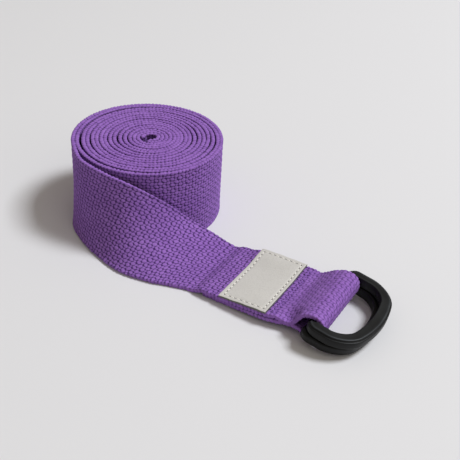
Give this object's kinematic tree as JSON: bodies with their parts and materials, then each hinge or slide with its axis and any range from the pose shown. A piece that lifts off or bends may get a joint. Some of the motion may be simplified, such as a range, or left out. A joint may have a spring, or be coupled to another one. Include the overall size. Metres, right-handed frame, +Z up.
{
  "type": "stretching strap",
  "caption": "Rolled-up woven cotton stretching strap standing on its edge, with a sewn loop that holds two D-rings as a cinch buckle and a stitched label.",
  "frame": {"origin": "on the floor, at the middle of the object's footprint", "axes": "+X along the strap's flat end from the roll towards the rings, +Y across the strap from its lead's side towards the roll's side, +Z up"},
  "size_m": [0.1691, 0.0877, 0.038],
  "materials": {
    "webbing": "coarse bobbled cotton weave, dull",
    "thread": "matching sewing thread",
    "label": "off-white synthetic leather, fine grain, satin",
    "label_thread": "white sewing thread",
    "ring": "moulded black nylon, soft sheen"
  },
  "bodies": {
    "rolled_strap": {"webbing_roll": "webbing", "webbing_lead": "webbing", "webbing_hem": "webbing", "hem_stitches": "thread"},
    "buckle_end": {"webbing_end": "webbing", "loop_seam": "thread", "label_patch": "label", "label_stitches": "label_thread"},
    "lower_ring": {"ring_lower": "ring"},
    "upper_ring": {"ring_upper": "ring"}
  },
  "joints": [
    {"name": "strap_bend", "type": "hinge", "parent": "rolled_strap", "child": "buckle_end", "pos_m": [0.00565, -0.01744, 0.00095], "axis": [0, -1, 0], "range_deg": [0, 60]},
    {"name": "ring_pair_swing", "type": "hinge", "parent": "buckle_end", "child": "lower_ring", "pos_m": [0.06115, -0.01744, 0.00761], "axis": [0, -1, 0], "range_deg": [0, 75]},
    {"name": "upper_ring_swing", "type": "hinge", "parent": "lower_ring", "child": "upper_ring", "pos_m": [0.06219, -0.01744, 0.00932], "axis": [0, -1, 0], "range_deg": [0, 75]}
  ]
}
